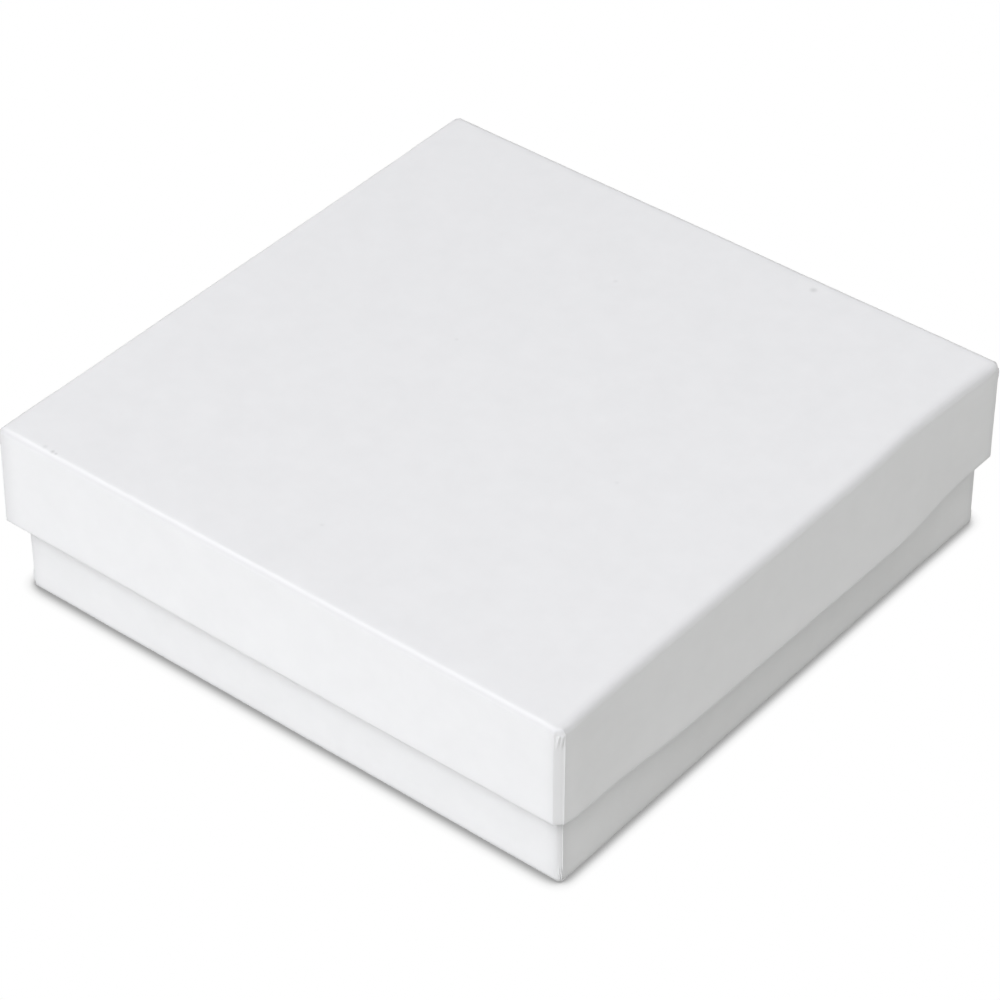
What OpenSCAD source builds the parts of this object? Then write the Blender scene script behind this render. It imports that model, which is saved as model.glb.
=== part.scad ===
// Two-piece set-up jewellery gift box: a paper-wrapped chipboard base and lid, each held square by four
// corner stays, with a loose fibre pad in the base.
// The origin is the centre of the base's underside, and +Z is up. All sizes are in millimetres.

/* [Box] */
// Outside width and depth of the lid
lid_w = 88.9; // [60:0.1:130]
// Height of the closed box
box_h = 25.4; // [20:0.1:60]
// Height of the lid from its rim to its top
lid_h = 14.7; // [11:0.1:16]
// Gap between the lid's lining and the base, on each side
fit_gap = 0.25; // [0.2:0.05:0.6]
// Gap between the closed lid's underside and the base's rim
seat_gap = 0.05; // [0.02:0.01:0.2]

/* [Materials] */
// Thickness of the chipboard
board_t = 0.9; // [0.7:0.05:1.3]
// Thickness of the wrapping paper
paper_t = 0.15; // [0.12:0.01:0.2]
// Thickness of the corner stay tape
stay_t = 0.1; // [0.08:0.01:0.15]

/* [Edges] */
// Radius of the folds round the lid's top and the base's bottom, over the paper
fold_r = 0.8; // [0.4:0.05:1.2]
// Width of the lid's flat corners, along each wall
lid_corner = 1.0; // [0.5:0.05:1.4]
// Width of the base's flat corners, along each wall
base_corner = 0.6; // [0.4:0.05:1.2]
// How far the wrap is turned in over the lid's rim
lid_turn_in = 10.5; // [4:0.1:10.7]
// How far the wrap is turned in over the base's rim
base_turn_in = 13; // [6:0.5:16]

/* [Stays] */
// Length of a stay along each wall
stay_leg = 9; // [5:0.5:15]
// Space between a stay's ends and the board's edges
stay_inset = 1.5; // [1:0.1:3]

/* [Fibre pad] */
// Height of the pad
pad_h = 14.5; // [8:0.5:14.5]
// Gap round the pad's sides
pad_gap = 0.6; // [0.4:0.1:2]
// Radius of the pad's upper edges
pad_r = 2; // [0.5:0.5:4]

/* [Hidden] */
$fn = 64;
CORNERS = ["front_left", "front_right", "back_right", "back_left"];

panel_t = board_t + paper_t;              // top of the lid, or floor of the base
wall_t = board_t + 2 * paper_t;           // wall with its paper on both sides
base_w = lid_w - 2 * (wall_t + fit_gap);
base_h = box_h - panel_t - seat_gap;
base_inner_w = base_w - 2 * wall_t;
pad_w = base_inner_w - 2 * pad_gap;
pad_z = panel_t + seat_gap;
inward = 2 - sqrt(2);                     // how much a flat corner narrows for each mm of inward offset
overshoot = 1;                            // how far a cutter runs past what it cuts

// Square outline of width w with flat corners that take c off each side.
module cut_corner_square(w, c) {
    h = w / 2;
    polygon([
        [c - h, -h], [h - c, -h], [h, c - h], [h, h - c],
        [h - c, h], [c - h, h], [-h, h - c], [-h, c - h]
    ]);
}

// Upright section of width w and height h, with its two upper corners rounded to radius r.
module crowned_section(w, h, r) {
    translate([-w / 2, 0]) square([w, h - r]);
    translate([r - w / 2, 0]) square([w - 2 * r, h]);
    for (side = [-1, 1]) translate([side * (w / 2 - r), h - r]) circle(r);
}

// Solid block standing on z = 0, with rounded upper edges and flat vertical corners.
module crowned_block(w, h, r, c) {
    intersection() {
        linear_extrude(h) cut_corner_square(w, c);
        rotate([90, 0, 0]) linear_extrude(w, center = true) crowned_section(w, h, r);
        rotate([90, 0, 90]) linear_extrude(w, center = true) crowned_section(w, h, r);
    }
}

// One stay, at corner number i, on a board of width w whose walls run from z0 to z1.
module stay_strip(w, c, z0, z1, i) {
    translate([0, 0, z0 + stay_inset]) linear_extrude(z1 - z0 - 2 * stay_inset) intersection() {
        difference() {
            cut_corner_square(w, c);
            cut_corner_square(w - 2 * stay_t, c - inward * stay_t);
        }
        rotate(90 * i) translate([-w / 2, -w / 2]) square(stay_leg);
    }
}

// Folded board tray, open below: outside width w, height h, rim at z = z0, with beds for the stays.
module board_tray(w, h, c, z0) {
    difference() {
        translate([0, 0, z0]) crowned_block(w, h, fold_r - paper_t, c);
        translate([0, 0, z0 - overshoot])
            linear_extrude(h - board_t + overshoot) square(w - 2 * board_t, center = true);
        for (i = [0:3]) stay_strip(w, c, z0, z0 + h - fold_r, i);
    }
}

// Paper skin over a board tray: outside width w and height h, folded round the rim at z = 0 and turned in.
module wrap_skin(w, h, c, turn_in) {
    inner_w = w - 2 * wall_t;
    difference() {
        crowned_block(w, h, fold_r, c);
        translate([0, 0, -overshoot])
            crowned_block(w - 2 * paper_t, h - paper_t + overshoot, fold_r - paper_t, c - inward * paper_t);
    }
    linear_extrude(paper_t) difference() {
        cut_corner_square(w, c);
        square(inner_w, center = true);
    }
    linear_extrude(turn_in) difference() {
        square(inner_w + 2 * paper_t, center = true);
        square(inner_w, center = true);
    }
}

// The base's pieces are drawn open side down and turned over.
module turned_over() {
    translate([0, 0, base_h]) mirror([0, 0, 1]) children();
}

module base_board() {
    color("gainsboro") turned_over()
        board_tray(base_w - 2 * paper_t, base_h - 2 * paper_t, base_corner - inward * paper_t, paper_t);
}

module base_wrap() {
    color("white") turned_over() wrap_skin(base_w, base_h, base_corner, base_turn_in);
}

module base_stay(i) {
    color("ivory") turned_over() stay_strip(
        base_w - 2 * paper_t, base_corner - inward * paper_t, paper_t, base_h - paper_t - fold_r, i
    );
}

module fibre_pad() {
    color("snow") translate([0, 0, pad_z]) crowned_block(pad_w, pad_h, pad_r, pad_r);
}

module lid_board() {
    color("gainsboro") translate([0, 0, box_h - lid_h])
        board_tray(lid_w - 2 * paper_t, lid_h - 2 * paper_t, lid_corner - inward * paper_t, paper_t);
}

module lid_wrap() {
    color("white") translate([0, 0, box_h - lid_h]) wrap_skin(lid_w, lid_h, lid_corner, lid_turn_in);
}

module lid_stay(i) {
    color("ivory") translate([0, 0, box_h - lid_h]) stay_strip(
        lid_w - 2 * paper_t, lid_corner - inward * paper_t, paper_t, lid_h - paper_t - fold_r, i
    );
}

base_board();
base_wrap();
for (i = [0:3]) base_stay(i);
fibre_pad();
lid_board();
lid_wrap();
for (i = [0:3]) lid_stay(i);
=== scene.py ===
import math
import random
from collections import namedtuple

import bmesh
import bpy
import numpy as np
from mathutils import Matrix, Vector, noise
from mathutils.bvhtree import BVHTree


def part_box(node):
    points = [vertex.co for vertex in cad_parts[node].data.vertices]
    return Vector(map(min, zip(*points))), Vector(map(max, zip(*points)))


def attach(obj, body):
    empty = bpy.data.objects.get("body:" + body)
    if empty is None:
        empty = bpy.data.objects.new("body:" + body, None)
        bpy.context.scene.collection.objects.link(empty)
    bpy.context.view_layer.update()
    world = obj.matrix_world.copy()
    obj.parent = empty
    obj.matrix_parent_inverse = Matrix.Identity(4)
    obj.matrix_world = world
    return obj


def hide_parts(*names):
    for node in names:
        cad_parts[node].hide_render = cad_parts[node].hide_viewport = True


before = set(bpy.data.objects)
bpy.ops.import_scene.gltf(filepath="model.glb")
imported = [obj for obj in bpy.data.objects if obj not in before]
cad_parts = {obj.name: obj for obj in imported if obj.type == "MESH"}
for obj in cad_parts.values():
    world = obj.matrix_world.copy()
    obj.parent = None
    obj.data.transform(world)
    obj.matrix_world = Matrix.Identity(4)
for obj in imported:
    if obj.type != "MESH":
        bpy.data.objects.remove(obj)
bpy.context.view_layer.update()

# A white set-up gift box: a lid and a base of chipboard, each wrapped in one sheet of paper, round a
# fibre pad. Lengths are in metres, in the frame's axes. "Depth" is the distance from the outside of a
# panel (the lid's top or the base's underside) towards the rim of the walls that are folded from it.

MM = 0.001
SEED = 7

# ---------------------------------------------------------------- sizes
lid_low, lid_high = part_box("lid_wrap")
lid_board_low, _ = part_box("lid_board")
base_low, base_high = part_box("base_wrap")
stay_low, stay_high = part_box("lid_stay_front_left")
base_stay_low, base_stay_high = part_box("base_stay_front_left")
pad_low, pad_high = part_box("fibre_pad")

PAPER = lid_board_low.z - lid_low.z      # thickness of the wrapping paper
BOARD = 0.9 * MM                         # thickness of the chipboard
WALL_T = BOARD + 2 * PAPER
SKIN_GAP = 0.01 * MM                     # space left between the board and the back of its paper
STAY_T = 0.08 * MM                       # thickness of the corner tape
STAY_LEG = stay_high.x - stay_low.x      # length of the tape along each wall
RIM = 0.28 * MM                          # radius of the paper's folds round the rim
INNER_CORNER = 0.12 * MM

# fold is the radius between the panel and the walls, corner the width of a flat corner, and shares how that
# differs at each corner, in CORNER_NAMES order. face is the z of the panel's outside, and way the direction
# in z from there to the rim.
Tray = namedtuple("Tray", "name half depth fold corner shares turn_in face way")
LID = Tray(
    "lid", half=lid_high.x, depth=lid_high.z - lid_low.z, fold=0.8 * MM, corner=0.9 * MM,
    shares=(1, 1, 0.7, 0.3), turn_in=10.5 * MM, face=lid_high.z, way=-1,
)
BASE = Tray(
    "base", half=base_high.x, depth=base_high.z - base_low.z, fold=0.45 * MM, corner=0.65 * MM,
    shares=(0.75, 1.1, 1, 1.4), turn_in=13 * MM, face=base_low.z, way=1,
)

# Where the left and right flaps are glued over the corner tabs of the front and back flaps
LAP = 0.05 * MM                          # how far the flap lies over the tab
TAB = 8 * MM                             # length of a tab
TAB_FADE = 3 * MM                        # length over which the tab's end shows through

# The wrap's details
FLAT_FROM = 0.95 * MM                    # how far in from a wall the panel starts to be flat
PUCKER = 0.17 * MM                       # height of the gathered paper beside the crease at a corner's top
PUCKER_LENGTH = 2.4 * MM
GROOVE = 0.03 * MM                       # depth of the dent beside a flap's edge
WAVE = 0.05 * MM                         # height of the waves in the wrapped surfaces
EDGE_WANDER = 0.3 * MM                   # how unevenly the turned-in paper's edge is cut
MITRE = 1.8 * MM                         # how much more of it is cut away in the corners
MITRE_REACH = 2.5 * MM

# The board's details
CUT = 0.08 * MM                          # rounding of the board's cut edges
SCORE = 0.4 * MM                         # radius of the scored folds inside the board
JOINT = 0.3 * MM                         # depth of the open joint between two walls of the board

# How the lid's walls stand away from flat, most at the rim
RIGHT_BULGE = 1.02 * MM
RIGHT_INSET = 0.35 * MM                  # how far the top of the right wall is pulled in
FRONT_LEAN = 0.2 * MM
FRONT_BULGE = 0.2 * MM
HIDDEN_BULGE = 0.35 * MM                 # bow of the back and left walls
CORNER_FLARE = 0.12 * MM                 # how far the front left corner's rim stands out
FLARE_REACH = 14 * MM
CORNER_PINCH = 0.38 * MM                 # how far the front right corner is pressed in from the right
PINCH_REACH = 1.6 * MM
EDGE_DROP = 0.09 * MM                    # how far the lid's top falls towards its front fold
EDGE_REACH = 0.65 * MM

# How the base's walls stand away from flat, and how the base sits in the lid: a little to the right
BASE_PINCH = 0.1 * MM                    # how far the walls' rims are drawn in between the corners
BASE_SHIFT = 0.05 * MM
SPLAY = 0.05 * MM                        # how far the foot of the right wall is splayed
TUCK = 0.6 * MM                          # how far the right wall's rim leans in, to clear the lid
TUCK_HEIGHT = 12 * MM                    # height over which it comes to lean so far
COVERED = 11 * MM                        # height from which the lid hides the walls

# ---------------------------------------------------------------- mesh helpers
WALL_STEPS = 64
TURN_STEPS = 12
WALL_NORMALS = np.array([(0, -1), (1, 0), (0, 1), (-1, 0)], float)   # front, right, back and left walls
CORNER_NAMES = ["front_right", "back_right", "back_left", "front_left"]
CORNER_FLAT = 0.8                        # shape of a corner, from 0 for round to 1 for flat


def places(steps, crowding=0.65):
    """Places from -1 to 1, crowded towards both ends."""
    return np.array([
        (1 - crowding) * (2 * i / steps - 1) - crowding * math.cos(math.pi * i / steps)
        for i in range(steps + 1)
    ])


def smooth(x):
    """Soft step from 0 to 1 as x goes from 0 to 1."""
    t = np.clip(x, 0, 1)
    return t * t * (3 - 2 * t)


ALONG = places(WALL_STEPS)

# Stations round a box: each wall from end to end, then its corner in TURN_STEPS steps
rows = []
for wall in range(4):
    rows += [(wall, i, 0, 1) for i in range(WALL_STEPS + 1)]
    rows += [(wall, WALL_STEPS, step / TURN_STEPS, 0) for step in range(TURN_STEPS + 1)]
WALL, INDEX, TURN, ON_WALL = np.array(rows).T
WALL, INDEX = WALL.astype(int), INDEX.astype(int)
PLACE = ALONG[INDEX]
OUTWARD = WALL_NORMALS[WALL]
AHEAD = WALL_NORMALS[(WALL + 1) % 4]
COS, SIN = np.cos(TURN * math.pi / 2), np.sin(TURN * math.pi / 2)
FACING = OUTWARD * COS[:, None] + AHEAD * SIN[:, None]

# One line round a box. out and down say which way its surface faces. The rest are shares or sizes of a
# detail there: lap of the doubled paper, skin of the ripple, ragged of the uneven cut, bed of the tape's
# thickness, seam the depth of the open joint in an inside corner, and pucker of the creases at a corner.
Ring = namedtuple("Ring", "half depth corner out down lap skin ragged bed seam pucker", defaults=(0,) * 8)


def bend(half, depth, radius, start, end, steps):
    """Points round a fold: half, depth and the way it faces. 0 degrees faces outward, 90 towards the rim."""
    for i in range(steps + 1):
        angle = math.radians(start + (end - start) * i / steps)
        out, down = math.cos(angle), math.sin(angle)
        yield half + radius * out, depth + radius * down, out, down


def lap_cover(from_end):
    """Lift of each station, where a left or right flap lies over a corner tab."""
    return LAP * ON_WALL * (WALL % 2) * (1 - smooth((from_end - TAB) / TAB_FADE))


def cut_edge(from_end):
    """How far the turned-in paper's edge falls short of its full length, at each station."""
    spots = FACING * 9 + AHEAD * PLACE[:, None] * 4
    wander = np.array([noise.noise((x, y, 0.3)) for x, y in spots])
    return EDGE_WANDER * (1 + wander) + MITRE * (1 - smooth(from_end / MITRE_REACH))


def corner_creases(tray, depth):
    """Height of each corner station, from the paper gathered on both sides of a crease that slants down from
    the fold, and from the dent beside the flap's edge."""
    flap_side = np.where(WALL % 2 == 0, TURN, 1 - TURN)
    down = (depth - 0.5 * tray.fold) / PUCKER_LENGTH
    beside = np.clip(np.abs(flap_side - 0.74 + 0.26 * down) / 0.34, 0, 1)
    gathered = 4 * beside * (1 - beside) * (1 - ON_WALL) * smooth((1 - flap_side) / 0.1)
    gathered = gathered * smooth(down / 0.2) * (1 - smooth((down - 0.6) / 0.4))
    groove = np.exp(-((flap_side - 0.88) / 0.06) ** 2) * (1 - ON_WALL)
    return PUCKER * gathered - GROOVE * groove


def ring_points(tray, r):
    """The points of one ring as x, y and depth, and the way the surface faces there."""
    from_end = (1 - np.abs(PLACE)) * tray.half
    shares = np.array(tray.shares)
    corner = r.corner * np.where(PLACE > 0, shares[WALL], shares[WALL - 1])
    reach = corner * (1 - CORNER_FLAT + CORNER_FLAT / (COS + SIN)) + r.seam * np.sin(math.pi * TURN)
    reach = reach + r.pucker * corner_creases(tray, r.depth)
    straight = r.half - corner
    plan = OUTWARD * straight[:, None] + AHEAD * (straight * PLACE)[:, None] + FACING * reach[:, None]
    lift = lap_cover(from_end) * r.lap
    bed = (STAY_T + SKIN_GAP) * r.bed * (1 - smooth((from_end - STAY_LEG) / MM))
    plan = plan + FACING * (lift * r.out - bed)[:, None]
    depth = r.depth + lift * r.down + (cut_edge(from_end) * r.ragged if r.ragged else 0)
    normal = np.column_stack([FACING * r.out, np.full(len(WALL), r.down)])
    return np.column_stack([plan, depth]), normal


def grid_index(wall, index, steps=WALL_STEPS):
    """Which point of a panel's grid a station starts from."""
    x, y = [(index, 0), (steps, index), (steps - index, steps), (0, steps - index)][wall]
    return x * (steps + 1) + y


def panel_points(half, depth):
    """A square grid of points over a panel."""
    x, y = np.meshgrid(ALONG * half, ALONG * half, indexing="ij")
    return np.column_stack([x.ravel(), y.ravel(), np.full(x.size, depth)])


def tray_mesh(tray, rings):
    """A closed skin through the rings, from the panel's outside over the walls to the panel's inside:
    points in the frame's axes, faces, the way each point faces, and its ring's share of the ripple."""
    count, grid = len(WALL), (WALL_STEPS + 1) ** 2
    middle = [ring_points(tray, r) for r in rings[1:-1]]
    points = np.vstack(
        [panel_points(rings[0].half, rings[0].depth)] + [m[0] for m in middle]
        + [panel_points(rings[-1].half, rings[-1].depth)]
    )
    normals = np.vstack(
        [np.tile((0, 0, -1.0), (grid, 1))] + [m[1] for m in middle] + [np.tile((0, 0, 1.0), (grid, 1))]
    )
    sizes = [grid] + [count] * len(middle) + [grid]
    skin = np.repeat([r.skin for r in rings], sizes)
    edge = np.array([grid_index(w, i) for w, i in zip(WALL, INDEX)])
    last = len(points) - grid
    ids = [edge] + [grid + count * r + np.arange(count) for r in range(len(middle))] + [last + edge]
    faces = []
    for first in (0, last):
        for spot in range(WALL_STEPS * (WALL_STEPS + 1)):
            if spot % (WALL_STEPS + 1) < WALL_STEPS:
                a = first + spot
                faces.append((a, a + WALL_STEPS + 1, a + WALL_STEPS + 2, a + 1))
    for upper, lower in zip(ids, ids[1:]):
        for s in range(count):
            t = (s + 1) % count
            loop = list(dict.fromkeys([upper[s], lower[s], lower[t], upper[t]]))
            if len(loop) > 2:
                faces.append(loop)
    points[:, 2] = tray.face + tray.way * points[:, 2]
    normals[:, 2] *= tray.way
    return points, faces, normals, skin


def make_piece(name, points, faces, material, body, replaces=(), sharp=40, fold=None):
    """A mesh object from points and faces, cleaned, riding on its body."""
    mesh = bpy.data.meshes.new(name)
    mesh.from_pydata([tuple(map(float, p)) for p in points], [], [tuple(map(int, f)) for f in faces])
    # fold carries each point's share of painted shade at the paper's folds, for the paper's material.
    if fold is not None:
        mesh.attributes.new("fold", "FLOAT", "POINT").data.foreach_set("value", fold.astype(np.float32))
    work = bmesh.new()
    work.from_mesh(mesh)
    bmesh.ops.remove_doubles(work, verts=work.verts, dist=1e-7)
    bmesh.ops.recalc_face_normals(work, faces=work.faces)
    for face in work.faces:
        face.smooth = True
    work.to_mesh(mesh)
    work.free()
    mesh.set_sharp_from_angle(angle=math.radians(sharp))
    mesh.materials.append(material)
    piece = bpy.data.objects.new(name, mesh)
    bpy.context.scene.collection.objects.link(piece)
    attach(piece, body)
    if replaces:
        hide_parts(*replaces)
    return piece


def field(points, size, seed=0.0):
    """Smooth noise from about -1 to 1, at each point, with features of the given size."""
    offset = Vector((seed * 13.7, seed * 7.3, seed * 3.1))
    return np.array([noise.noise(Vector(p) / size + offset) for p in points])


# ---------------------------------------------------------------- paper and board
def wrap_rings(tray):
    """The wrap: over the panel, down the walls, round the rim, up the inside and back on its glued side."""
    half, depth, inner, fold = tray.half, tray.depth, tray.half - WALL_T, tray.fold
    rows = [Ring(half - FLAT_FROM, 0, 0, skin=0.5)]
    for h, d, out, down in bend(half - fold, fold, fold, -90, 0, 7):
        rows.append(Ring(h, d, max(0, h - half + tray.corner), out, down, lap=smooth(out * 1.2), skin=1))
    for share in (places(32, 0.8)[1:-1] + 1) / 2:
        d = fold + share * (depth - RIM - fold)
        rows.append(Ring(half, d, tray.corner, 1, 0, lap=1, skin=1, pucker=smooth((1 - share) / 0.05)))
    for centre, start in ((half - RIM, 0), (inner + RIM, 90)):
        for h, d, out, down in bend(centre, depth - RIM, RIM, start, start + 90, 5):
            corner = INNER_CORNER + (tray.corner - INNER_CORNER) * max(0, h - inner) / WALL_T
            rows.append(Ring(h, d, corner, out, down, lap=1, skin=0.4))
    for share in np.linspace(0, 1, 14)[1:]:
        d = depth - RIM - share * (tray.turn_in - RIM)
        rows.append(Ring(inner, d, INNER_CORNER, -1, 0, lap=1, skin=0.5, ragged=share))
    for share in (1, 0.5, 0):
        d = depth - PAPER - share * (tray.turn_in - PAPER)
        rows.append(Ring(inner + PAPER, d, INNER_CORNER, ragged=share))
    for share in np.linspace(0, 1, 13)[:-1]:
        rows.append(Ring(half - PAPER, depth - PAPER - share * (depth - PAPER - fold), tray.corner - PAPER))
    for h, d, _, _ in bend(half - fold, fold, fold - PAPER, 0, -90, 5):
        rows.append(Ring(h, d, max(0, h - half + tray.corner)))
    return rows + [Ring(half - FLAT_FROM, PAPER, 0)]


def board_rings(tray):
    """The board: outside of the panel and walls, the cut rim, then the inside with its scored fold."""
    half, depth = tray.half - PAPER - SKIN_GAP, tray.depth - PAPER - SKIN_GAP
    inner, floor, top = tray.half - PAPER - BOARD, PAPER + BOARD, PAPER + SKIN_GAP
    fold, corner = tray.fold - PAPER, tray.corner - PAPER
    rows = [Ring(half - FLAT_FROM, top, 0)]
    for h, d, _, _ in bend(half - fold, top + fold, fold, -90, 0, 5):
        rows.append(Ring(h, d, max(0, h - half + corner)))
    for share in (0.03, 0.06, 0.15, 0.25, 0.35, 0.45, 0.55, 0.65, 0.75, 0.85, 0.94, 0.97):
        d = top + fold + share * (depth - top - fold)
        rows.append(Ring(half, d, corner, 1, 0, bed=float(0.05 < share < 0.95)))
    rows += [Ring(half, depth - CUT, corner), Ring(half - CUT, depth, corner)]
    rows.append(Ring(inner + CUT, depth, INNER_CORNER))
    for share in np.linspace(0, 1, 10):
        d = depth - CUT - share * (depth - CUT - floor - SCORE)
        rows.append(Ring(inner, d, INNER_CORNER, -1, 0, skin=0.6, seam=JOINT))
    for h, d, out, down in bend(inner - SCORE, floor + SCORE, SCORE, 0, -90, 5):
        rows.append(Ring(h, d, max(0, h - inner + INNER_CORNER), -out, -down, skin=0.6, seam=JOINT * out))
    rows.append(Ring(inner - 1.8 * SCORE, floor - 0.2 * SCORE, 0, 0, 1))
    return rows + [Ring(inner - 3 * SCORE, floor, 0, skin=0.6)]


def rippled(points, normals, skin, seed):
    """Lifts the surface by the slight waves that glue and board leave in it."""
    shown = skin > 0
    wave = np.zeros(len(points))
    wave[shown] = (
        WAVE * field(points[shown], 22 * MM, seed) + 0.5 * WAVE * field(points[shown], 7 * MM, seed + 1)
        + 0.25 * WAVE * field(points[shown], 2.5 * MM, seed + 2)
    )
    return points + normals * (wave * skin)[:, None]


def near(side, half):
    """1 at the wall that lies at half, and 0 well inside it."""
    return smooth((side / half - 0.8) / 0.15)


def hump(along, half):
    """1 in the middle of a wall and 0 at its ends."""
    return np.cos(np.clip(along / half, -1, 1) * math.pi / 2)


def right_bow(v):
    """Shape of the right wall's bow as v goes from 0 at its front end to 1 at its back end."""
    return smooth((v - 0.05) / 0.25) * (1 - smooth((v - 0.73) / 0.2)) * (1 + 0.8 * (v - 0.45))


def right_inset(v):
    """How far the top of the right wall is pulled in along it: least at the front, most near the back."""
    dent = np.exp(-(((v - 0.8) / 0.08) ** 2))
    return (0.35 + 0.65 * smooth(v / 0.1) + dent) * (1 - smooth((v - 0.9) / 0.09))


def lid_shape(points):
    """Lets the lid's walls stand out a little towards the rim, as glued board does, and dents a corner."""
    x, y, z = points.T
    half = LID.half
    drop = np.clip((LID.face - z) / LID.depth, 0, 1) ** 1.2
    corner = np.exp(-((x + half) ** 2 + (y + half) ** 2) / FLARE_REACH ** 2)
    v = y / (2 * half) + 0.5
    x = x + near(x, half) * (RIGHT_BULGE * drop * right_bow(v) - RIGHT_INSET * right_inset(v) * (1 - drop))
    x = x - drop * near(-x, half) * HIDDEN_BULGE * hump(y, half) ** 1.5
    bow = hump(x, half) ** 1.5
    y = y + drop * (near(y, half) * HIDDEN_BULGE * bow - near(-y, half) * (FRONT_LEAN + FRONT_BULGE * bow))
    flare = CORNER_FLARE * drop * corner
    pinch = CORNER_PINCH * np.exp(-((x - half) ** 2 + (y + half) ** 2) / PINCH_REACH ** 2)
    z = z - EDGE_DROP * np.exp((-half - y) / EDGE_REACH) * (1 - smooth((LID.face - z) / (2 * MM)))
    return np.column_stack([x - flare - pinch, y - flare, z])


def base_shape(points):
    """Draws the base's walls in towards the rim, the right one most, and splays the right one's foot."""
    x, y, z = points.T
    half = BASE.half
    x = x + BASE_SHIFT + SPLAY * near(x, half) * (1 - smooth(z / COVERED))
    x = x - TUCK * near(x, half) * smooth((z - COVERED) / TUCK_HEIGHT)
    rise = np.clip(z / BASE.depth, 0, 1)
    x = x - np.sign(x) * near(np.abs(x), half) * rise * BASE_PINCH * hump(y, half)
    y = y - np.sign(y) * near(np.abs(y), half) * rise * BASE_PINCH * hump(x, half)
    return np.column_stack([x, y, z])


def painted_fold_shade(points, tray):
    """How much painted shade each point gets at a fold of the paper, from 0 to 1: in a band above the right
    fold, fainter at the back, and in a line along the front and left folds, which are creased more sharply,
    where it dims their highlight; also along the rim and the upright corners. out and depth are in mm."""
    x, y = points[:, 0], points[:, 1]
    out = (tray.half - np.maximum(np.abs(x), np.abs(y))) / MM
    depth = np.abs(points[:, 2] - tray.face) / MM
    right = smooth((x - np.abs(y)) / (6 * MM) + 0.5)
    back = smooth((y - np.abs(x)) / (6 * MM) + 0.5)
    band = 0.9 * np.exp(-(((out - 0.22) / 0.75) ** 2 + (depth / 0.48) ** 2))
    line = np.exp(-(((out - 0.1) / 0.28) ** 2 + ((depth - 0.2) / 0.42) ** 2))
    panel = band * (right + 0.35 * back) + line * (1 - right - back)
    rim = 0.6 * np.exp(-(((tray.depth / MM - depth) / 0.5) ** 2))
    corner = 0.6 * np.exp(-((2 * tray.half - np.abs(x) - np.abs(y)) / (1.4 * MM)) ** 2)
    return np.clip(panel + rim + corner, 0, 1)


def add_tray(tray, shape, paper, board, seed):
    """The wrap and the board of the lid or the base."""
    points, faces, normals, skin = tray_mesh(tray, wrap_rings(tray))
    # folds is each point's share of the painted shade at the paper's folds.
    folds = painted_fold_shade(points, tray)
    points = shape(rippled(points, normals, skin, seed))
    name = tray.name
    make_piece(name + "_cover_paper", points, faces, paper, name, [name + "_wrap"], fold=folds)
    points, faces, normals, skin = tray_mesh(tray, board_rings(tray))
    points = shape(rippled(points, normals, skin, seed + 5))
    make_piece(name + "_tray_board", points, faces, board, name, [name + "_board"])


def add_stay(tray, shape, wall, low, high, tape):
    """One strip of tape folded round an outside corner of the board, between its paper and the board."""
    outward, ahead = WALL_NORMALS[wall], WALL_NORMALS[(wall + 1) % 4]
    outer = tray.half - PAPER - SKIN_GAP
    corner = (tray.corner - PAPER) * tray.shares[wall]
    legs = np.linspace(outer - STAY_LEG, outer - corner, 13)
    heights = np.linspace(low, high, 13)
    points = []
    for lift in (0, STAY_T):
        half, turn = outer - lift, corner - lift
        line = [outward * half + ahead * a for a in legs]
        for step in range(1, TURN_STEPS):
            angle = step / TURN_STEPS * math.pi / 2
            reach = turn * (1 - CORNER_FLAT + CORNER_FLAT / (math.cos(angle) + math.sin(angle)))
            bearing = outward * math.cos(angle) + ahead * math.sin(angle)
            line.append((outward + ahead) * (half - turn) + bearing * reach)
        line += [ahead * half + outward * a for a in legs[::-1]]
        for z in heights:
            points += [(p[0], p[1], z) for p in line]
    columns, layer = len(line), len(line) * len(heights)
    faces = []
    for r in range(len(heights) - 1):
        for c in range(columns - 1):
            a = r * columns + c
            quad = (a, a + 1, a + columns + 1, a + columns)
            faces += [quad, tuple(layer + i for i in quad[::-1])]
    rim = list(range(columns))
    rim += [r * columns + columns - 1 for r in range(1, len(heights))]
    rim += [layer - 1 - c for c in range(1, columns)]
    rim += [r * columns for r in range(len(heights) - 2, 0, -1)]
    for a, b in zip(rim, rim[1:] + rim[:1]):
        faces.append((b, a, layer + a, layer + b))
    node = f"{tray.name}_stay_{CORNER_NAMES[wall]}"
    points = shape(np.array(points))
    make_piece(node.replace("stay", "corner_tape"), points, faces, tape, tray.name, [node])


# ---------------------------------------------------------------- materials
def new_material(name, **sockets):
    """A node material: it, its node tree, its shader, and a function that adds a node to it."""
    material = bpy.data.materials.new(name)
    material.use_nodes = True
    tree = material.node_tree
    shader = tree.nodes["Principled BSDF"]
    for socket, value in sockets.items():
        shader.inputs[socket.replace("_", " ")].default_value = value

    def add(kind, links=(), **settings):
        """A node with its settings, and with links from other nodes' outputs into its sockets."""
        node = tree.nodes.new(kind)
        for key, value in settings.items():
            if hasattr(node, key):
                setattr(node, key, value)
            else:
                node.inputs[key.replace("_", " ")].default_value = value
        for socket, source in dict(links).items():
            tree.links.new(source, node.inputs[socket])
        return node

    return material, tree, shader, add


def stops(ramp, *rows):
    """Sets a colour ramp's stops from (position, colour) rows."""
    elements = ramp.color_ramp.elements
    while len(elements) < len(rows):
        elements.new(0.5)
    for element, (position, colour) in zip(elements, rows):
        element.position = position
        element.color = (*colour, 1)
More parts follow.
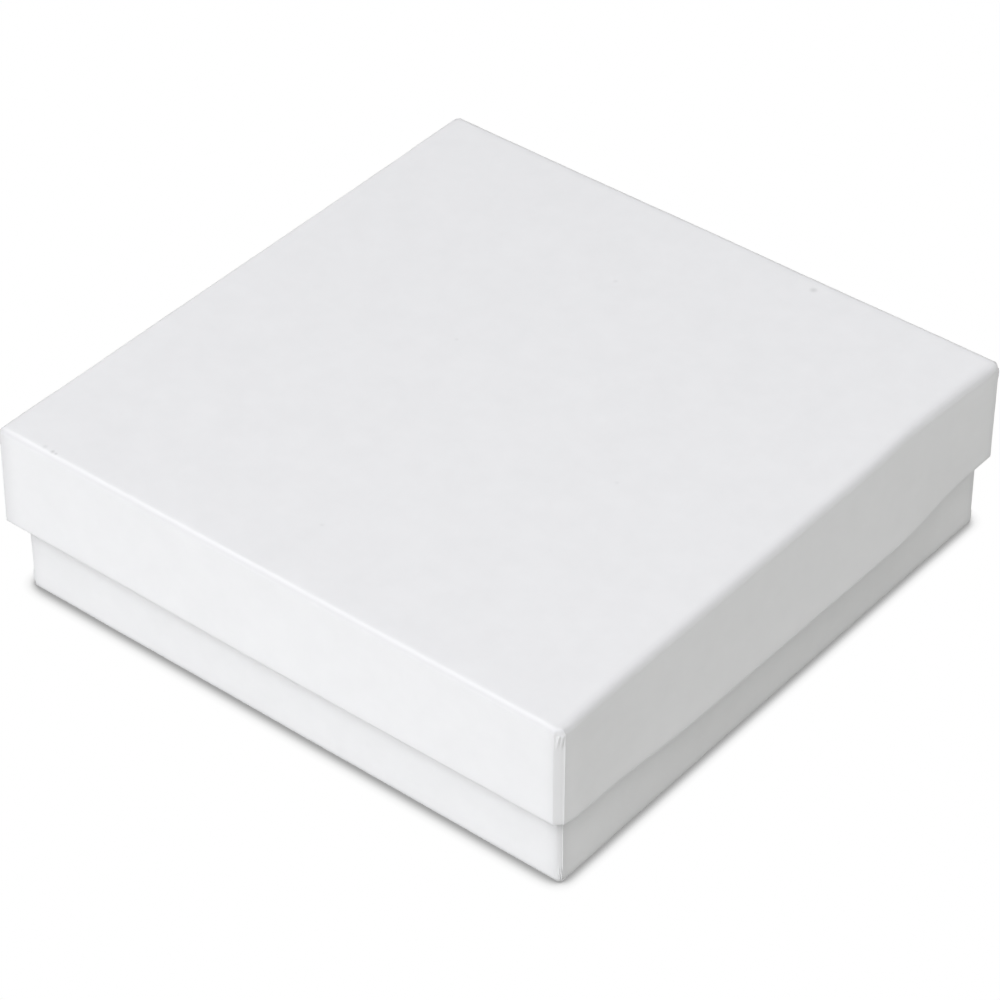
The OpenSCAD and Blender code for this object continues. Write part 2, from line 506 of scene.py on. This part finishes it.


# Small dark spots on the lid: specks, and three on the front fold near its left end that are painted shade
# of a small dent there. x, y and z in mm, the spot's radius in mm, and how dark it is
SPECKS_AND_DENT_SHADE = [
    (17, 42, 25.4, 0.75, 0.30), (-4, 27.5, 25.4, 0.5, 0.13), (-12, 5, 25.4, 0.4, 0.13),
    (-1, -33.5, 25.4, 0.5, 0.10), (21.5, -5, 25.4, 0.45, 0.09), (-37.3, -43.5, 25.4, 0.55, 0.2),
    (-35.9, -43.6, 25.35, 0.45, 0.4), (-35.3, -43.65, 25.35, 0.35, 0.35),
]


def paper_material():
    """Satin white wrapping paper: faint clouding, fine fibres in its surface, and painted shade where it is
    folded.
    """
    material, tree, shader, add = new_material("wrap_paper", Specular_IOR_Level=0.32)
    place = add("ShaderNodeTexCoord").outputs["Object"]
    cloud = add("ShaderNodeTexNoise", {"Vector": place}, Scale=260, Detail=4, Roughness=0.6)
    stretched = add("ShaderNodeMapping", {"Vector": place}, Rotation=(0.2, 0.3, 0.5), Scale=(1, 0.3, 0.6))
    fibre = add(
        "ShaderNodeTexNoise", {"Vector": stretched.outputs["Vector"]}, Scale=2600, Detail=3, Distortion=0.8
    )
    grain = add("ShaderNodeTexNoise", {"Vector": place}, Scale=7000, Detail=2)
    tone = add("ShaderNodeValToRGB", {"Fac": cloud.outputs["Fac"]})
    stops(tone, (0.3, (0.804, 0.806, 0.813)), (0.7, (0.824, 0.826, 0.833)))
    shade = tone.outputs["Color"]
    # Each spot mixes in a dark grey: a speck, or painted shade of the dent on the front fold near its left
    # end.
    for x, y, z, size, strength in SPECKS_AND_DENT_SHADE:
        away = add("ShaderNodeVectorMath", {0: place}, operation="DISTANCE")
        away.inputs[1].default_value = (x * MM, y * MM, z * MM)
        mark = add("ShaderNodeMapRange", {"Value": away.outputs["Value"]}, interpolation_type="SMOOTHSTEP")
        mark.inputs["From Max"].default_value = size * MM
        mark.inputs["To Min"].default_value, mark.inputs["To Max"].default_value = strength, 0
        spotted = add("ShaderNodeMix", {0: mark.outputs["Result"], 6: shade}, data_type="RGBA")
        spotted.inputs[7].default_value = (0.36, 0.36, 0.36, 1)
        shade = spotted.outputs[2]
    # Painted shade: a grey mixed in by the fold attribute darkens the paper along its folds, rim and upright
    # corners.
    fold = add("ShaderNodeAttribute", attribute_name="fold")
    fold_shaded_colour = add("ShaderNodeMix", {0: fold.outputs["Fac"], 6: shade}, data_type="RGBA")
    fold_shaded_colour.inputs[7].default_value = (0.66, 0.662, 0.67, 1)
    tree.links.new(fold_shaded_colour.outputs[2], shader.inputs["Base Color"])
    gloss = add("ShaderNodeMapRange", {"Value": fibre.outputs["Fac"]}, To_Min=0.40, To_Max=0.56)
    tree.links.new(gloss.outputs["Result"], shader.inputs["Roughness"])
    waves = add("ShaderNodeBump", {"Height": cloud.outputs["Fac"]}, Strength=0.35, Distance=0.05 * MM)
    hairs = add(
        "ShaderNodeBump", {"Height": fibre.outputs["Fac"], "Normal": waves.outputs["Normal"]},
        Strength=0.3, Distance=0.012 * MM,
    )
    tooth = add(
        "ShaderNodeBump", {"Height": grain.outputs["Fac"], "Normal": hairs.outputs["Normal"]},
        Strength=0.25, Distance=0.004 * MM,
    )
    tree.links.new(tooth.outputs["Normal"], shader.inputs["Normal"])
    return material


def board_material():
    """White-lined recycled board: off-white, with grey and tan flecks and a matted surface."""
    material, tree, shader, add = new_material("chipboard", Specular_IOR_Level=0.2, Roughness=0.85)
    place = add("ShaderNodeTexCoord").outputs["Object"]
    cloud = add("ShaderNodeTexNoise", {"Vector": place}, Scale=320, Detail=5, Roughness=0.65)
    tone = add("ShaderNodeValToRGB", {"Fac": cloud.outputs["Fac"]})
    stops(tone, (0.3, (0.66, 0.645, 0.605)), (0.7, (0.74, 0.73, 0.70)))
    long = add("ShaderNodeMapping", {"Vector": place}, Rotation=(0.1, 0.2, 0.9), Scale=(1, 0.35, 1))
    flecks = add("ShaderNodeTexVoronoi", {"Vector": long.outputs["Vector"]}, Scale=700, Randomness=1.0)
    mask = add(
        "ShaderNodeMapRange", {"Value": flecks.outputs["Distance"]},
        From_Min=0.10, From_Max=0.17, To_Min=0.55, To_Max=0.0,
    )
    flecked = add("ShaderNodeMix", {0: mask.outputs["Result"], 6: tone.outputs["Color"]}, data_type="RGBA")
    flecked.inputs[7].default_value = (0.42, 0.38, 0.31, 1)
    tree.links.new(flecked.outputs[2], shader.inputs["Base Color"])
    stretched = {"Vector": long.outputs["Vector"]}
    felt = add("ShaderNodeTexNoise", stretched, Scale=2200, Detail=4, Distortion=1.0)
    bump = add("ShaderNodeBump", {"Height": felt.outputs["Fac"]}, Strength=0.5, Distance=0.03 * MM)
    tree.links.new(bump.outputs["Normal"], shader.inputs["Normal"])
    return material


def tape_material():
    """Ivory gummed paper tape with long fibres."""
    material, tree, shader, add = new_material("stay_tape", Specular_IOR_Level=0.25, Roughness=0.7)
    place = add("ShaderNodeTexCoord").outputs["Object"]
    long = add("ShaderNodeMapping", {"Vector": place}, Scale=(0.5, 0.5, 2.5))
    lines = add("ShaderNodeTexNoise", {"Vector": long.outputs["Vector"]}, Scale=900, Detail=5)
    tone = add("ShaderNodeValToRGB", {"Fac": lines.outputs["Fac"]})
    stops(tone, (0.3, (0.70, 0.63, 0.50)), (0.7, (0.80, 0.74, 0.62)))
    tree.links.new(tone.outputs["Color"], shader.inputs["Base Color"])
    bump = add("ShaderNodeBump", {"Height": lines.outputs["Fac"]}, Strength=0.4, Distance=0.02 * MM)
    tree.links.new(bump.outputs["Normal"], shader.inputs["Normal"])
    return material


def fibre_material():
    """Bleached white fibre: matte and soft, a mat of fine threads in three directions, with painted shade in
    the gaps between them.
    """
    material, tree, shader, add = new_material(
        "fibre", Roughness=0.95, Specular_IOR_Level=0.15, Sheen_Weight=0.35, Sheen_Roughness=0.6
    )
    place = add("ShaderNodeTexCoord").outputs["Object"]
    warp = add("ShaderNodeTexNoise", {"Vector": place}, Scale=180, Detail=2)
    bent = add("ShaderNodeVectorMath", {0: warp.outputs["Color"]}, operation="SCALE")
    bent.inputs["Scale"].default_value = 0.004
    swayed = add("ShaderNodeVectorMath", {0: place, 1: bent.outputs["Vector"]}, operation="ADD")
    sway = {"Vector": swayed.outputs["Vector"]}
    strands = []
    for turn in (0.2, 1.25, 2.3):
        line = add("ShaderNodeMapping", sway, Rotation=(0.15, 0.25, turn), Scale=(1, 0.08, 0.6))
        along = {"Vector": line.outputs["Vector"]}
        strand = add("ShaderNodeTexNoise", along, Scale=4200, Detail=3, Roughness=0.65)
        strands.append(strand.outputs["Fac"])
    height = strands[0]
    for strand in strands[1:]:
        height = add("ShaderNodeMath", {0: height, 1: strand}, operation="MAXIMUM").outputs[0]
    clumps = add("ShaderNodeTexNoise", sway, Scale=420, Detail=5, Roughness=0.6)
    # Painted shade: the colour is darker where the threads lie low, in the gaps between them.
    tone = add("ShaderNodeValToRGB", {"Fac": height})
    stops(tone, (0.42, (0.80, 0.80, 0.785)), (0.68, (0.90, 0.90, 0.895)))
    tree.links.new(tone.outputs["Color"], shader.inputs["Base Color"])
    soft = add("ShaderNodeBump", {"Height": clumps.outputs["Fac"]}, Strength=0.6, Distance=0.35 * MM)
    fine = add(
        "ShaderNodeBump", {"Height": height, "Normal": soft.outputs["Normal"]},
        Strength=0.8, Distance=0.09 * MM,
    )
    tree.links.new(fine.outputs["Normal"], shader.inputs["Normal"])
    return material


# ---------------------------------------------------------------- fibre pad
PAD_ROOM = Vector((1.0, 1.0, 1.6)) * MM  # how much smaller the block is than the pad, before it swells
PAD_ROUND = 1.6 * MM                     # size of its bevelled edges
PAD_MESH = 2.0 * MM                      # size of its mesh's faces
PAD_SWELL = 1.3 * MM                     # the furthest that a point of it may move
CLOTH_SCALE = 10                         # how much larger than life the cloth is simulated
WISPS = 1400
WISP_STEP = 0.8 * MM                     # length of one straight stretch of a loose fibre


def evaluated_mesh(piece):
    """A piece's mesh with its modifiers applied."""
    bpy.context.view_layer.update()
    return bpy.data.meshes.new_from_object(piece.evaluated_get(bpy.context.evaluated_depsgraph_get()))


def coordinates(mesh):
    """A mesh's points, as an array."""
    points = np.zeros(len(mesh.vertices) * 3, np.float32)
    mesh.vertices.foreach_get("co", points)
    return points.reshape(-1, 3).astype(float)


def pad_start(grow):
    """A block with rounded edges, a little smaller than the pad, at the size at which cloth is simulated."""
    work = bmesh.new()
    bmesh.ops.create_cube(work, size=1)
    size = (pad_high - pad_low) - PAD_ROOM
    bmesh.ops.scale(work, vec=size * grow, verts=work.verts)
    edges = work.edges[:]
    bmesh.ops.bevel(work, geom=edges, offset=PAD_ROUND * grow, segments=3, profile=0.6, affect="EDGES")
    mesh = bpy.data.meshes.new("pad_start")
    work.to_mesh(mesh)
    work.free()
    piece = bpy.data.objects.new("pad_start", mesh)
    bpy.context.scene.collection.objects.link(piece)
    remesh = piece.modifiers.new("Remesh", "REMESH")
    remesh.mode, remesh.voxel_size = "VOXEL", PAD_MESH * grow
    piece.data = evaluated_mesh(piece)
    piece.modifiers.clear()
    return piece


def puffed(piece, cap):
    """Lets the block swell as stuffed cloth does. No point moves further than cap."""
    rest = coordinates(piece.data)
    scene = bpy.context.scene
    cloth = piece.modifiers.new("Cloth", "CLOTH")
    cloth.settings.use_pressure = True
    cloth.settings.uniform_pressure_force = 4
    cloth.settings.effector_weights.gravity = 0
    for frame_number in range(1, 21):
        scene.frame_set(frame_number)
    swollen = coordinates(evaluated_mesh(piece))
    scene.frame_set(1)
    piece.modifiers.clear()
    move = swollen - rest
    length = np.linalg.norm(move, axis=1, keepdims=True)
    return rest + move * np.minimum(1, cap / np.maximum(length, 1e-9))


def pad_surface(points, normals):
    """Lumps and tufts over the batt, and the layers that show in its cut sides."""
    side = smooth((1 - np.abs(normals[:, 2]) - 0.4) / 0.4)
    lumps = 0.40 * field(points, 11 * MM, 3) + 0.22 * field(points, 4.5 * MM, 4)
    lumps = lumps + 0.12 * field(points, 1.9 * MM, 5)
    layers = 0.30 * field(points / np.array((7, 7, 1.3)), 1 * MM, 6)
    return points + normals * ((lumps + side * layers) * MM)[:, None]


def fitted(points):
    """Keeps the pad off the floor and walls of the base."""
    limit = BASE.half - WALL_T - LAP - 0.25 * MM
    points[:, :2] = np.clip(points[:, :2], -limit, limit)
    points[:, 2] = np.clip(points[:, 2], pad_low.z + 0.02 * MM, None)
    return points


def add_pad(material):
    """The fibre pad, from a simulated block, with two subdivisions and its surface raised into tufts."""
    piece = pad_start(CLOTH_SCALE)
    points = puffed(piece, PAD_SWELL * CLOTH_SCALE)
    points = points / CLOTH_SCALE + np.array((pad_low + pad_high) / 2)
    piece.data.vertices.foreach_set("co", points.astype(np.float32).ravel())
    piece.modifiers.new("Soften", "SMOOTH").iterations = 2
    piece.modifiers.new("Subdivide", "SUBSURF").levels = 2
    mesh = evaluated_mesh(piece)
    bpy.data.objects.remove(piece)
    normals = np.zeros(len(mesh.vertices) * 3, np.float32)
    mesh.vertices.foreach_get("normal", normals)
    points = fitted(pad_surface(coordinates(mesh), normals.reshape(-1, 3).astype(float)))
    faces = [tuple(p.vertices) for p in mesh.polygons]
    pad = make_piece("fibre_batt", points, faces, material, "pad", ["fibre_pad"], sharp=180)
    return pad


def add_wisps(pad, count, material):
    """Loose fibres that curl over the pad's top and sides, as one mesh of thin tubes."""
    rng = random.Random(SEED)
    tree = BVHTree.FromPolygons([v.co for v in pad.data.vertices], [p.vertices for p in pad.data.polygons])
    starts = [p for p in pad.data.polygons if p.normal.z > -0.3]
    weights = [p.area for p in starts]
    points, faces = [], []
    for polygon in rng.choices(starts, weights, k=count):
        spot = polygon.center.copy()
        heading = Vector([rng.gauss(0, 1) for _ in range(3)]).cross(polygon.normal).normalized()
        curl = rng.gauss(0, 0.28)
        lift = abs(rng.gauss(0, 0.35)) * MM
        radius = rng.uniform(0.016, 0.03) * MM
        steps = rng.randint(6, 12)
        line = []
        for step in range(steps + 1):
            surface, normal, _, _ = tree.find_nearest(spot)
            rise = radius + lift * math.sin(math.pi * step / steps)
            line.append(surface + normal * rise)
            heading = (heading - normal * heading.dot(normal)).normalized()
            heading.rotate(Matrix.Rotation(curl + rng.gauss(0, 0.15), 3, normal))
            spot = surface + heading * WISP_STEP
        first = len(points)
        for i, p in enumerate(line):
            along = (line[min(i + 1, steps)] - line[max(i - 1, 0)]).normalized()
            across = along.orthogonal().normalized()
            thin = radius * (0.4 + 0.6 * math.sin(math.pi * (0.1 + 0.8 * i / steps)))
            for k in range(3):
                points.append(p + Matrix.Rotation(k * 2 * math.pi / 3, 3, along) @ across * thin)
        for i in range(steps):
            for k in range(3):
                a, b = first + 3 * i + k, first + 3 * i + (k + 1) % 3
                faces.append((a, b, b + 3, a + 3))
        faces += [(first + 2, first + 1, first), tuple(first + 3 * steps + k for k in range(3))]
    keep = BASE.half - WALL_T - LAP - 0.05 * MM
    spread = np.array(points)
    spread[:, :2] = np.clip(spread[:, :2], -keep, keep)
    spread[:, 2] = np.clip(spread[:, 2], pad_low.z + 0.02 * MM, lid_high.z - 3 * MM)
    make_piece("fibre_wisps", spread, faces, material, "pad", sharp=180)


# ---------------------------------------------------------------- stage
LIGHT_DISTANCE = 3.0
LIGHT_SIZE = 1.8
FLOOR_GLOW = 0.574
SHADOW_REACH = 2.3 * MM                  # how far from the box the floor is shaded, at its front and back
SIDE_REACH = 1.9 * MM                    # the same at its left and right
SIDE_FROM, SIDE_TO = 40 * MM, 44 * MM    # distances from the middle between which it changes
# How much of the floor's view of the room is open, and the grey that it then has
SHADOW_GREYS = ((0.5, 0.37), (0.69, 0.685), (0.765, 0.815), (0.84, 0.915), (0.98, 1))


def floor_material():
    """White as the camera sees it, and to the box a pale card that also glows. Both go dark only where the
    box shuts out the light, close to it."""
    material, tree, shader, add = new_material("floor")
    tree.nodes.remove(shader)
    axes = add("ShaderNodeSeparateXYZ", {"Vector": add("ShaderNodeTexCoord").outputs["Object"]})
    aside = add("ShaderNodeMath", {0: axes.outputs["X"]}, operation="ABSOLUTE")
    reach = add(
        "ShaderNodeMapRange", {"Value": aside.outputs[0]},
        From_Min=SIDE_FROM, From_Max=SIDE_TO, To_Min=SHADOW_REACH, To_Max=SIDE_REACH,
    )
    shade = add("ShaderNodeAmbientOcclusion", {"Distance": reach.outputs["Result"]}, samples=32)
    grey = add("ShaderNodeValToRGB", {"Fac": shade.outputs["AO"]})
    stops(grey, *((place, (value, value, value)) for place, value in SHADOW_GREYS))
    tint = add("ShaderNodeMix", {6: grey.outputs["Color"]}, data_type="RGBA", blend_type="MULTIPLY")
    tint.inputs[0].default_value = 1
    tint.inputs[7].default_value = (0.995, 1, 0.984, 1)
    seen = add("ShaderNodeEmission", {"Color": grey.outputs["Color"]})
    glow = add("ShaderNodeEmission", {"Color": tint.outputs[2]}, Strength=FLOOR_GLOW)
    card = add("ShaderNodeBsdfDiffuse", Color=(0.3, 0.3, 0.29, 1))
    both = add("ShaderNodeAddShader", {0: glow.outputs["Emission"], 1: card.outputs["BSDF"]})
    path = add("ShaderNodeLightPath").outputs["Is Camera Ray"]
    mix = add("ShaderNodeMixShader", {0: path, 1: both.outputs["Shader"], 2: seen.outputs["Emission"]})
    output = tree.nodes["Material Output"]
    tree.links.new(mix.outputs["Shader"], output.inputs["Surface"])
    return material


def add_floor():
    """A wide flat sweep under the box."""
    mesh = bpy.data.meshes.new("floor")
    work = bmesh.new()
    bmesh.ops.create_grid(work, x_segments=8, y_segments=8, size=6)
    work.to_mesh(mesh)
    work.free()
    mesh.materials.append(floor_material())
    floor = bpy.data.objects.new("floor", mesh)
    bpy.context.scene.collection.objects.link(floor)


def add_light(name, azimuth, elevation, power, colour):
    """A square softbox that faces the box from an azimuth and elevation in degrees, unseen by the camera."""
    light = bpy.data.lights.new(name, "AREA")
    light.size, light.energy, light.color = LIGHT_SIZE, power, colour
    lamp = bpy.data.objects.new(name, light)
    bpy.context.scene.collection.objects.link(lamp)
    a, e = math.radians(azimuth), math.radians(elevation)
    direction = Vector((math.sin(a) * math.cos(e), -math.cos(a) * math.cos(e), math.sin(e)))
    lamp.location = direction * LIGHT_DISTANCE
    lamp.rotation_euler = direction.to_track_quat("Z", "Y").to_euler()
    lamp.visible_camera = False


def add_world(light, backdrop):
    """Even light from all round, and a plain backdrop where the camera looks past the floor."""
    world = bpy.data.worlds.new("studio")
    bpy.context.scene.world = world
    world.use_nodes = True
    tree = world.node_tree
    background = tree.nodes["Background"]
    path = tree.nodes.new("ShaderNodeLightPath")
    mix = tree.nodes.new("ShaderNodeMix")
    mix.data_type = "RGBA"
    mix.inputs[6].default_value = (*light, 1)
    mix.inputs[7].default_value = (*backdrop, 1)
    tree.links.new(path.outputs["Is Camera Ray"], mix.inputs[0])
    tree.links.new(mix.outputs[2], background.inputs["Color"])


def add_camera(azimuth, elevation, roll, distance, aim, focal):
    """A camera at an azimuth and elevation in degrees. Its axis passes the origin at aim, a pair of offsets
    across and up its own view. focal is in mm."""
    a, e, r = (math.radians(angle) for angle in (azimuth, elevation, roll))
    back = Vector((math.sin(a) * math.cos(e), -math.cos(a) * math.cos(e), math.sin(e)))
    level = Vector((math.cos(a), math.sin(a), 0))
    upright = back.cross(level)
    right = level * math.cos(r) + upright * math.sin(r)
    up = upright * math.cos(r) - level * math.sin(r)
    place = back * distance + right * aim[0] + up * aim[1]
    data = bpy.data.cameras.new("camera")
    data.sensor_width, data.lens = 36, focal
    data.clip_start, data.clip_end = 0.01, 100
    camera = bpy.data.objects.new("camera", data)
    bpy.context.scene.collection.objects.link(camera)
    camera.matrix_world = Matrix((
        (right.x, up.x, back.x, place.x), (right.y, up.y, back.y, place.y),
        (right.z, up.z, back.z, place.z), (0, 0, 0, 1),
    ))
    bpy.context.scene.camera = camera


# ---------------------------------------------------------------- the whole object
paper, board, tape, fibre = paper_material(), board_material(), tape_material(), fibre_material()
add_tray(LID, lid_shape, paper, board, seed=1)
add_tray(BASE, base_shape, paper, board, seed=20)
for wall in range(4):
    add_stay(LID, lid_shape, wall, stay_low.z, stay_high.z, tape)
    add_stay(BASE, base_shape, wall, base_stay_low.z, base_stay_high.z, tape)
add_wisps(add_pad(fibre), WISPS, fibre)

add_floor()
add_light("key", 0, 48, 66.7, (0.964, 0.966, 1.0))
add_light("left", 315, 48, 20.0, (0.972, 0.976, 1.0))
add_light("high", 60, 65, 36.65, (1, 0.995, 0.97))
add_light("back", 180, 18, 15.0, (1, 1, 1))
add_world((0.01, 0.01, 0.01), (1, 1, 1))
add_camera(
    azimuth=39.298, elevation=39.254, roll=-0.217,
    distance=508.1 * MM, aim=(-0.726 * MM, 6.556 * MM), focal=142.317,
)
bpy.context.scene.view_settings.view_transform = "Standard"
